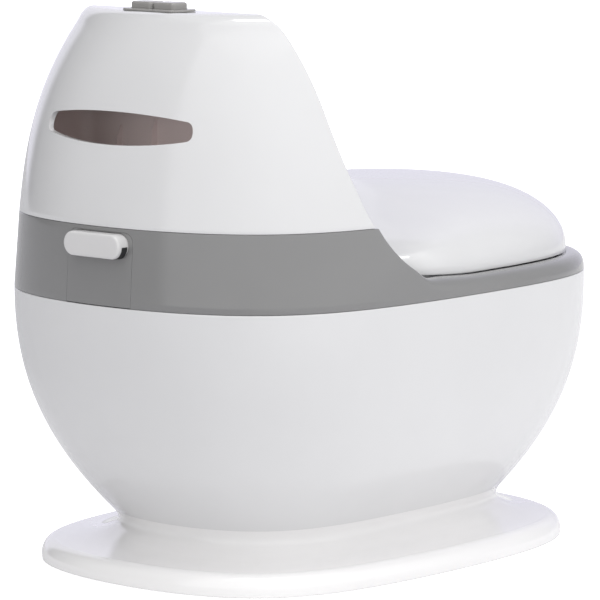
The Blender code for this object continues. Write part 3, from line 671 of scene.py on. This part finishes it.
def tank_loop(height, inset, back, wall, z_of=None):
    """One loop of the tank at a level; z_of may bend the level round the slot."""
    z = height
    edge_y = wing_y(z) + back + wall
    climb = min(max((z - 195.0) / 110.0, 0.0), 1.0)
    mid_y = BACK_Y_LOW + (BACK_Y_HIGH - BACK_Y_LOW) * climb + back + wall
    total = inset + wall
    t_edge = angle_at_y(edge_y, total)
    x_edge = band(t_edge, total)[0]
    soft = 2.4 - 0.5 * wall
    t_soft = angle_at_y(edge_y + soft, total)
    angles = rear_angles(t_soft)
    loop = []
    for t in angles:
        zz = z_of(t) if z_of else z
        here = (tank_inset(zz) + wall) if z_of else total
        loop.append((*band(t, here), zz))
    front = []
    for i in range(FRONT_COLUMNS):
        x = (x_edge - soft) * math.cos(math.pi * i / (FRONT_COLUMNS - 1))
        front.append((x, front_curve(x, x_edge, edge_y, mid_y), z))
    corner_a = (x_edge, edge_y, z)
    corner_b = (-x_edge, edge_y, z)
    loop += corner_join(loop[-1], corner_a, front[0], CORNER_STEPS)
    loop += front
    loop += corner_join(front[-1], corner_b, loop[0], CORNER_STEPS)
    return loop


def apron_row(z, wall):
    """One level of the skirt that runs down between the wings in front of the tank."""
    edge_y = max(wing_y(z) + 1.2, 78.0) + wall
    mid_y = BACK_Y_LOW + (BACK_Y_HIGH - BACK_Y_LOW) * max((z - 195.0) / 110.0, 0.0) + wall
    reach = band(angle_at_y(edge_y, 7.3), 7.3)[0]
    row = []
    for i in range(FRONT_COLUMNS):
        x = reach * math.cos(math.pi * i / (FRONT_COLUMNS - 1))
        row.append((x, front_curve(x, reach, edge_y, mid_y), z))
    return row


def bent_level(base, side, share):
    """A level that eases from straight at base to the slot's edge as share goes to 1."""

    def z_of(t):
        s = t / SLOT_ANGLE
        edge = slot_edge(s, side) if abs(s) < 1 else SLOT_MID
        return base + (edge - base) * share

    return z_of


def flush_hole(loop, z):
    """The roof's rounded hole, one point for each point of the loop round it."""
    hole = []
    for x, y, _ in loop:
        a = math.atan2((y - FLUSH_Y) / FLUSH_HOLE[1], x / FLUSH_HOLE[0])
        c, s = math.cos(a), math.sin(a)
        r = (abs(c) ** 8 + abs(s) ** 8) ** (-1 / 8)
        hole.append((0.5 * FLUSH_HOLE[0] * r * c, FLUSH_Y + 0.5 * FLUSH_HOLE[1] * r * s, z))
    return hole


def roof_back(z):
    """How far the front of the tank leans back as it rounds over to the roof."""
    return 3.5 * smooth_step((z - 356.0) / 14.0) ** 1.5


def roof_levels(wall):
    """The tight rounding from the walls over to the nearly flat roof: (z, inset, back)."""
    out = []
    for inset, z in quarter((38.9, 360.0), (48.0, ROOF_Z), (42.6, 369.6), 12)[1:]:
        back = roof_back(z)
        out.append((z - wall, inset - 0.4 * wall, back - 0.2 * wall))
    return out


def tank_cover_mesh():
    """Outer and inner skins of the tank, joined at the slot, the roof hole and the lower edge."""
    verts = []
    faces = []
    slot_first = SIDE_COLUMNS
    slot_last = SIDE_COLUMNS + SLOT_COLUMNS - 1

    def add(points):
        start = len(verts)
        verts.extend(points)
        return list(range(start, start + len(points)))

    def bands(loops):
        for low, high in zip(loops, loops[1:]):
            size = len(low)
            for j in range(size):
                k = (j + 1) % size
                faces.append((low[j], low[k], high[k], high[j]))

    skins = []
    for wall in (0.0, WALL):
        lower = []
        if not wall:
            lowest = quarter((0.4, TANK_BOTTOM), (0.0, TANK_BOTTOM + 0.4), (0.0, TANK_BOTTOM), 3)
            for inset, z in lowest[:-1]:
                lower.append(add(tank_loop(z, tank_inset(z) + inset, 0.0, 0.0)))
        for z in levels(TANK_BOTTOM + (0.4 if not wall else 0.0), 272.0, 14):
            lower.append(add(tank_loop(z, tank_inset(z), 0.0, wall)))
        for i in range(1, 13):
            share = math.sin(0.5 * math.pi * i / 12)
            z = 272.0 + (SLOT_MID - 272.0) * share
            lower.append(add(tank_loop(z, tank_inset(z), 0.0, wall, bent_level(272.0, -1, share))))
        upper = []
        for i in range(12, 0, -1):
            share = math.sin(0.5 * math.pi * i / 12)
            z = 322.0 + (SLOT_MID - 322.0) * share
            upper.append(add(tank_loop(z, tank_inset(z), 0.0, wall, bent_level(322.0, 1, share))))
        for z in levels(322.0, 359.0 - 0.6 * wall, 13):
            upper.append(add(tank_loop(z, tank_inset(z), roof_back(z), wall)))
        for z, inset, back in roof_levels(wall):
            upper.append(add(tank_loop(z, inset, back, wall)))
        last = [verts[k] for k in upper[-1]]
        hole_z = ROOF_Z - wall
        upper.append(add([mix(p, q, 0.5) for p, q in zip(last, flush_hole(last, hole_z))]))
        upper.append(add(flush_hole(last, hole_z)))
        apron = [add(apron_row(z, wall)) for z in levels(229.0, 195.6, 9)]
        bands(lower)
        bands(upper)
        size = len(lower[-1])
        for j in range(size):
            k = (j + 1) % size
            if slot_first <= j < slot_last:
                continue
            faces.append((lower[-1][j], lower[-1][k], upper[0][k], upper[0][j]))
        skins.append((lower, upper, apron))
    (out_low, out_up, out_apron), (in_low, in_up, in_apron) = skins
    size = len(out_low[0])
    rear_size = 2 * SIDE_COLUMNS + SLOT_COLUMNS
    front_start = rear_size + CORNER_STEPS - 1
    front_end = front_start + FRONT_COLUMNS - 1
    for j in range(slot_first, slot_last):
        faces.append((out_low[-1][j], out_low[-1][j + 1], in_low[-1][j + 1], in_low[-1][j]))
        faces.append((out_up[0][j], out_up[0][j + 1], in_up[0][j + 1], in_up[0][j]))
    for j in range(size):
        k = (j + 1) % size
        faces.append((out_up[-1][j], out_up[-1][k], in_up[-1][k], in_up[-1][j]))
        if front_start <= j < front_end:
            continue
        faces.append((out_low[0][j], out_low[0][k], in_low[0][k], in_low[0][j]))
    for low, rows in ((out_low, out_apron), (in_low, in_apron)):
        top = low[0][front_start:front_end + 1]
        for high_row, low_row in zip([top] + rows, rows):
            for j in range(FRONT_COLUMNS - 1):
                faces.append((high_row[j], high_row[j + 1], low_row[j + 1], low_row[j]))
    for j in (0, FRONT_COLUMNS - 1):
        outer = [out_low[0][front_start + j]] + [row[j] for row in out_apron]
        inner = [in_low[0][front_start + j]] + [row[j] for row in in_apron]
        for i in range(len(outer) - 1):
            faces.append((outer[i], outer[i + 1], inner[i + 1], inner[i]))
    for j in range(FRONT_COLUMNS - 1):
        faces.append((out_apron[-1][j], out_apron[-1][j + 1], in_apron[-1][j + 1], in_apron[-1][j]))
    return verts, faces


tank_verts, tank_faces = tank_cover_mesh()
tank_piece = finish_mesh("tank_cover_moulding", tank_verts, tank_faces, "white_gloss", 46.0)
place(tank_piece, "cover_body", "white_gloss", "tank_cover")


# ------------------------------------------------------------------ wipes tray inside the tank
TRAY_HALF = 80.5
TRAY_CORNER = 12.0
TRAY_BACK = 127.6
TRAY_OPEN = 160.0
TRAY_WALL = 2.4
TRAY_BASE = 246.0
TRAY_TOP = 312.0
RIB_FOOT = 130.0


def tray_path(inset):
    """Plan of the tray's wall, from one open end round the back to the other."""
    points = []
    for sx, start in ((1, 0), (-1, -90)):
        if sx > 0:
            points.append((TRAY_HALF - inset, TRAY_OPEN))
        for i in range(9):
            a = math.radians(start - 90.0 * i / 8)
            r = TRAY_CORNER - inset
            x = sx * (TRAY_HALF - TRAY_CORNER) + r * math.cos(a)
            points.append((x, TRAY_BACK + TRAY_CORNER + r * math.sin(a)))
    points.append((-TRAY_HALF + inset, TRAY_OPEN))
    return points


def tray_rib(name, x, width, top):
    """A low upright rib, faired into the back wall at its top."""
    rings = []
    for z, deep in ((248.4, 5.0), (top - 8.0, 4.2), (top, 0.2)):
        front = RIB_FOOT + deep
        left, right = (x - width, RIB_FOOT, z), (x + width, RIB_FOOT, z)
        rings.append([left, (x - 0.3 * width, front, z), (x + 0.3 * width, front, z), right])
    rib = loft(name, rings, "wipes_tray")
    place(rib, "base", "inner_plastic", "wipes_box")


tray_plan = tray_path(0.0) + list(reversed(tray_path(TRAY_WALL)))
tray_rings = [[(x, y, z) for x, y in tray_plan] for z in (TRAY_BASE, TRAY_TOP - 0.6, TRAY_TOP)]
tray_piece = loft("wipes_tray_wall", tray_rings, "wipes_tray")
place(tray_piece, "base", "inner_plastic", "wipes_box")
tray_floor = [[(x, y, z) for x, y in tray_path(2.5)] for z in (TRAY_BASE, 248.4)]
place(loft("wipes_tray_floor", tray_floor, "wipes_tray"), "base", "inner_plastic", "wipes_box")
for side, sx in (("right", -1), ("left", 1)):
    legs = [rounded_box(8.0, 6.0, 1.5, sx * 44.0, 136.0, z) for z in (200.0, TRAY_BASE)]
    place(loft("wipes_tray_leg_" + side, legs, "inner_plastic"), "base", "inner_plastic", "wipes_box")
tray_rib("wipes_tray_rib_outer", 46.0, 0.9, 293.0)
tray_rib("wipes_tray_rib_inner", 14.2, 1.1, 299.0)


# ------------------------------------------------------------------ seat ring and pot
def seat_ring_section(t):
    x, y = band(t, 18.0)
    if y > 0.0:
        y = 38.0 * (1 - math.exp(-y / 38.0))
    outer = (x, y)
    inner = ellipse(t, RING_OPENING[0], RING_OPENING[1], OPENING_Y)
    step = ellipse(t, OPENING[0] + 8.0, OPENING[1] + 8.0, OPENING_Y)
    section = [(*outer, 195.4), (*outer, 199.6)]
    for i in range(25):
        share = 0.5 - 0.5 * math.cos(math.pi * i / 24)
        crown = 199.8 + 7.8 * max(1 - abs(2 * share - 1) ** 2.6, 0.0) ** (1 / 2.2)
        section.append((*mix(outer, inner, share), crown))
    section += [(*inner, 198.2), (*step, 198.2), (*step, 195.4)]
    return section


ring_piece = loft("seat_ring_moulding", [seat_ring_section(t) for t in TURN], "seat_white", True)
place(ring_piece, "base", "seat_white", "seat_ring")

# the pot's half section in (inset from the opening, z): outside up to the rim, then down the inside
POT_PROFILE = [(36.0, 106.6), (30.0, 108.4), (24.0, 112.4), (20.0, 116.4), (14.0, 125.0)]
POT_PROFILE += [(9.6, 134.5), (6.4, 147.0), (4.6, 161.0), (3.2, 178.0), (2.2, 193.0), (1.6, 195.4)]
POT_PROFILE += [(-4.6, 195.4), (-5.8, 196.0), (-5.8, 197.2), (-4.8, 197.8), (2.2, 197.8), (3.6, 197.0)]
POT_PROFILE += [(4.6, 193.0), (5.4, 178.0), (6.9, 161.0), (8.8, 147.0), (12.0, 135.5), (16.4, 126.2)]
POT_PROFILE += [(21.6, 118.4), (27.0, 113.2), (33.0, 110.2), (40.0, 109.0)]


def opening_ring(inset, z):
    return [(*ellipse(t, OPENING[0] - inset, OPENING[1] - inset, OPENING_Y), z) for t in TURN]


pot_piece = loft("pot_moulding", [opening_ring(i, z) for i, z in POT_PROFILE], "pot_grey")
place(pot_piece, "base", "pot_grey", "pot")


# ------------------------------------------------------------------ flush module on the roof
housing_rings = [rounded_box(42.4, 16.2, 4.6, 0, FLUSH_Y, z) for z in (344.8, 370.2)]
housing_rings += [rounded_box(50.0, 24.0, 7.0, 0, FLUSH_Y, z) for z in (370.2, 370.7)]
for inset, z in quarter((0.0, 370.8), (0.8, 371.5), (0.0, 371.5), 5):
    housing_rings.append(rounded_box(50 - 2 * inset, 24 - 2 * inset, 7 - inset, 0, FLUSH_Y, z))
housing_rings += [rounded_box(40.8, 15.6, 3.6, 0, FLUSH_Y, 371.5)]
housing_rings += [rounded_box(40.2, 15.0, 3.4, 0, FLUSH_Y, 371.1)]
housing_rings += [rounded_box(40.2, 15.0, 3.4, 0, FLUSH_Y, 348.8)]
housing_piece = loft("flush_bezel", housing_rings, "button_grey")
place(housing_piece, "cover_body", "button_grey", "flush_housing")

# each cap has a round blind bore underneath for its spring
BUTTON = (19.1, 14.2)
BUTTON_OFFSET = 9.95
BUTTON_FOOT = 362.0
for side, sx in (("right", -1), ("left", 1)):
    cx = sx * BUTTON_OFFSET
    rings = [rounded_box(9.4, 9.4, 4.69, cx, FLUSH_Y, z) for z in (367.0, BUTTON_FOOT)]
    rings += [rounded_box(*BUTTON, 2.8, cx, FLUSH_Y, z) for z in (BUTTON_FOOT, 374.0)]
    for inset, z in quarter((0.0, 374.2), (1.8, 376.0), (0.0, 375.9), 7):
        wide, deep = BUTTON[0] - 2 * inset, BUTTON[1] - 2 * inset
        rings.append(rounded_box(wide, deep, 2.8 - 0.5 * inset, cx, FLUSH_Y, z))
    rings.append(rounded_box(9.0, 4.4, 1.0, cx, FLUSH_Y, 376.2))
    button = loft("flush_button_cap_" + side, rings, "button_grey")
    place(button, "flush_%s_body" % side, "button_grey", "flush_button_" + side)

# ------------------------------------------------------------------ stage, lights and camera
floor_mesh = bpy.data.meshes.new("studio_floor")
reach = 6.0
floor_corners = [(-reach, -reach, 0), (reach, -reach, 0), (reach, reach, 0), (-reach, reach, 0)]
floor_mesh.from_pydata(floor_corners, [], [(0, 1, 2, 3)])
floor = bpy.data.objects.new("studio_floor", floor_mesh)
scene.collection.objects.link(floor)
floor_look = Graph("studio_floor")
# painted shade: the floor's colour darkens toward the camera's left, standing in for dimmer light on that
# side
floor_side = floor_look.nodes.new("ShaderNodeVectorMath")
floor_side.operation = "DOT_PRODUCT"
floor_side.inputs[1].default_value = (0.744, 0.668, 0.0)
floor_place = floor_look.nodes.new("ShaderNodeTexCoord")
floor_look.links.new(floor_place.outputs["Object"], floor_side.inputs[0])
floor_cloud = floor_look.span(floor_look.noise(2.0), 0.0, 1.0)
floor_tone = floor_look.blend(floor_cloud, srgb(250, 250, 250), srgb(247, 247, 248))
floor_shade = floor_look.span(floor_side.outputs["Value"], 0.0, 1.0, -0.5, 0.45)
floor_look.to("Base Color", floor_look.blend(floor_shade, floor_tone, srgb(204, 204, 206)))
floor_look.shader.inputs["Roughness"].default_value = 0.9
floor_look.shader.inputs["Specular IOR Level"].default_value = 0.1
# painted light: a pool of emission on the floor round the object, full within 0.2 m and gone by 0.6 m
floor_light_pool_reach = floor_look.nodes.new("ShaderNodeVectorMath")
floor_light_pool_reach.operation = "LENGTH"
floor_look.links.new(floor_place.outputs["Object"], floor_light_pool_reach.inputs[0])
floor_look.shader.inputs["Emission Color"].default_value = (1.0, 0.995, 0.99, 1.0)
floor_look.to("Emission Strength", floor_look.span(floor_light_pool_reach.outputs["Value"], 0.16, 0.0, 0.2, 0.6))
floor_white = floor_look.nodes.new("ShaderNodeBsdfDiffuse")
floor_glow = floor_look.nodes.new("ShaderNodeEmission")
floor_glow.inputs["Strength"].default_value = 0.6
floor_sum = floor_look.nodes.new("ShaderNodeAddShader")
floor_pick = floor_look.nodes.new("ShaderNodeMixShader")
floor_rays = floor_look.nodes.new("ShaderNodeLightPath")
floor_look.links.new(floor_tone, floor_white.inputs["Color"])
floor_look.links.new(floor_white.outputs["BSDF"], floor_sum.inputs[0])
floor_look.links.new(floor_glow.outputs["Emission"], floor_sum.inputs[1])
floor_look.links.new(floor_rays.outputs["Is Camera Ray"], floor_pick.inputs["Fac"])
floor_look.links.new(floor_look.shader.outputs["BSDF"], floor_pick.inputs[1])
floor_look.links.new(floor_sum.outputs["Shader"], floor_pick.inputs[2])
floor_look.links.new(floor_pick.outputs["Shader"], floor_look.nodes["Material Output"].inputs["Surface"])
floor_mesh.materials.append(floor_look.mat)

# Brightness of the light tent against the bearing from the camera, positive to the camera's left
TENT = (
    (-180.0, (0.78, 0.77, 0.87)),
    (-146.0, (0.76, 0.75, 0.84)),
    (-126.0, (0.60, 0.60, 0.63)),
    (-108.0, (0.68, 0.68, 0.69)),
    (-90.0, (1.24, 1.24, 1.24)),
    (56.0, (1.24, 1.24, 1.24)),
    (62.0, (0.55, 0.55, 0.55)),
    (98.0, (0.50, 0.50, 0.50)),
    (118.0, (0.18, 0.18, 0.18)),
    (138.0, (0.14, 0.14, 0.15)),
    (147.0, (0.84, 0.83, 0.93)),
    (180.0, (0.88, 0.87, 0.97)),
)
# The same for the high band of the tent, where the main soft box hangs
TENT_HIGH = (
    (-180.0, (0.50, 0.50, 0.54)),
    (-120.0, (0.55, 0.55, 0.58)),
    (-95.0, (1.50, 1.50, 1.50)),
    (50.0, (1.50, 1.50, 1.50)),
    (70.0, (0.80, 0.80, 0.80)),
    (180.0, (0.50, 0.50, 0.54)),
)
TENT_SCALE = 1.8
BEHIND_CAMERA = (-0.668, 0.744, 0.0)
LEFT_OF_CAMERA = (0.744, 0.668, 0.0)


def studio_world():
    """A light tent: bright behind the camera and on its right, dark gap at left, pale backdrop."""
    world = bpy.data.worlds.new("studio_world")
    world.use_nodes = True
    tree = world.node_tree
    glow = tree.nodes["Background"]
    way = tree.nodes.new("ShaderNodeTexCoord").outputs["Generated"]

    def toward(direction):
        dot = tree.nodes.new("ShaderNodeVectorMath")
        dot.operation = "DOT_PRODUCT"
        dot.inputs[1].default_value = direction
        tree.links.new(way, dot.inputs[0])
        return dot.outputs["Value"]

    def spread(value, low, high, start, end):
        node = tree.nodes.new("ShaderNodeMapRange")
        node.interpolation_type = "SMOOTHSTEP"
        for key, number in (("From Min", low), ("From Max", high), ("To Min", start), ("To Max", end)):
            node.inputs[key].default_value = number
        tree.links.new(value, node.inputs["Value"])
        return node.outputs["Result"]

    bearing = tree.nodes.new("ShaderNodeMath")
    bearing.operation = "ARCTAN2"
    tree.links.new(toward(LEFT_OF_CAMERA), bearing.inputs[0])
    tree.links.new(toward(BEHIND_CAMERA), bearing.inputs[1])
    turn = tree.nodes.new("ShaderNodeMath")
    turn.operation = "MULTIPLY_ADD"
    turn.inputs[1].default_value = 0.5 / math.pi
    turn.inputs[2].default_value = 0.5
    tree.links.new(bearing.outputs["Value"], turn.inputs[0])

    def tones(table):
        ramp = tree.nodes.new("ShaderNodeValToRGB")
        stops = ramp.color_ramp.elements
        while len(stops) < len(table):
            stops.new(0.5)
        for stop, (angle, _) in zip(stops, table):
            stop.position = 0.5 + angle / 360.0
        for stop, (_, tone) in zip(stops, table):
            stop.color = (*(c / TENT_SCALE for c in tone), 1.0)
        tree.links.new(turn.outputs["Value"], ramp.inputs["Fac"])
        return ramp.outputs["Color"]

    storey = tree.nodes.new("ShaderNodeMix")
    storey.data_type = "RGBA"
    tree.links.new(spread(toward((0.0, 0.0, 1.0)), 0.77, 0.82, 0.0, 1.0), storey.inputs["Factor"])
    tree.links.new(tones(TENT), storey.inputs[6])
    tree.links.new(tones(TENT_HIGH), storey.inputs[7])
    tree.links.new(storey.outputs[2], glow.inputs["Color"])
    glow.inputs["Strength"].default_value = TENT_SCALE
    seen = tree.nodes.new("ShaderNodeBackground")
    seen.inputs["Color"].default_value = (1.0, 1.0, 1.0, 1.0)
    seen.inputs["Strength"].default_value = 1.05
    pick = tree.nodes.new("ShaderNodeMixShader")
    rays = tree.nodes.new("ShaderNodeLightPath")
    tree.links.new(rays.outputs["Is Camera Ray"], pick.inputs["Fac"])
    tree.links.new(glow.outputs["Background"], pick.inputs[1])
    tree.links.new(seen.outputs["Background"], pick.inputs[2])
    tree.links.new(pick.outputs["Shader"], tree.nodes["World Output"].inputs["Surface"])
    return world


scene.world = studio_world()
scene.view_settings.view_transform = "Standard"


def soft_light(name, place_at, target, size, power):
    data = bpy.data.lights.new(name, "AREA")
    data.shape = "RECTANGLE"
    data.size, data.size_y = size
    data.energy = power
    lamp = bpy.data.objects.new(name, data)
    lamp.location = place_at
    lamp.rotation_mode = "QUATERNION"
    lamp.rotation_quaternion = (Vector(target) - Vector(place_at)).to_track_quat("-Z", "Y")
    scene.collection.objects.link(lamp)


# camera: behind the sitter's right, above the tank's top and looking slightly down
BETA = math.radians(41.892)
YAW = math.radians(0.085)
PITCH = math.radians(7.722)
ROLL = math.radians(-0.077)
DISTANCE = 2.6789
HEIGHT = 0.5310
CAMERA_LENS = 239.856
camera_data = bpy.data.cameras.new("camera")
camera_data.sensor_width = 36.0
camera_data.lens = CAMERA_LENS
camera_data.clip_start = 0.1
camera_data.clip_end = 60.0
camera = bpy.data.objects.new("camera", camera_data)
eye = Vector((-DISTANCE * math.sin(BETA), DISTANCE * math.cos(BETA), HEIGHT))
level = math.cos(PITCH)
ahead = Vector((math.sin(BETA + YAW) * level, -math.cos(BETA + YAW) * level, -math.sin(PITCH)))
right = ahead.cross(Vector((0, 0, 1))).normalized()
up = right.cross(ahead)
tilt, lean = math.cos(ROLL), math.sin(ROLL)
right, up = (tilt * right + lean * up, tilt * up - lean * right)
camera.matrix_world = Matrix((
    (right.x, up.x, -ahead.x, eye.x),
    (right.y, up.y, -ahead.y, eye.y),
    (right.z, up.z, -ahead.z, eye.z),
    (0, 0, 0, 1),
))
scene.collection.objects.link(camera)
scene.camera = camera

soft_light("top_box", (-0.34, 0.37, 2.2), (-0.05, 0.05, 0.3), (0.9, 0.34), 5.6)
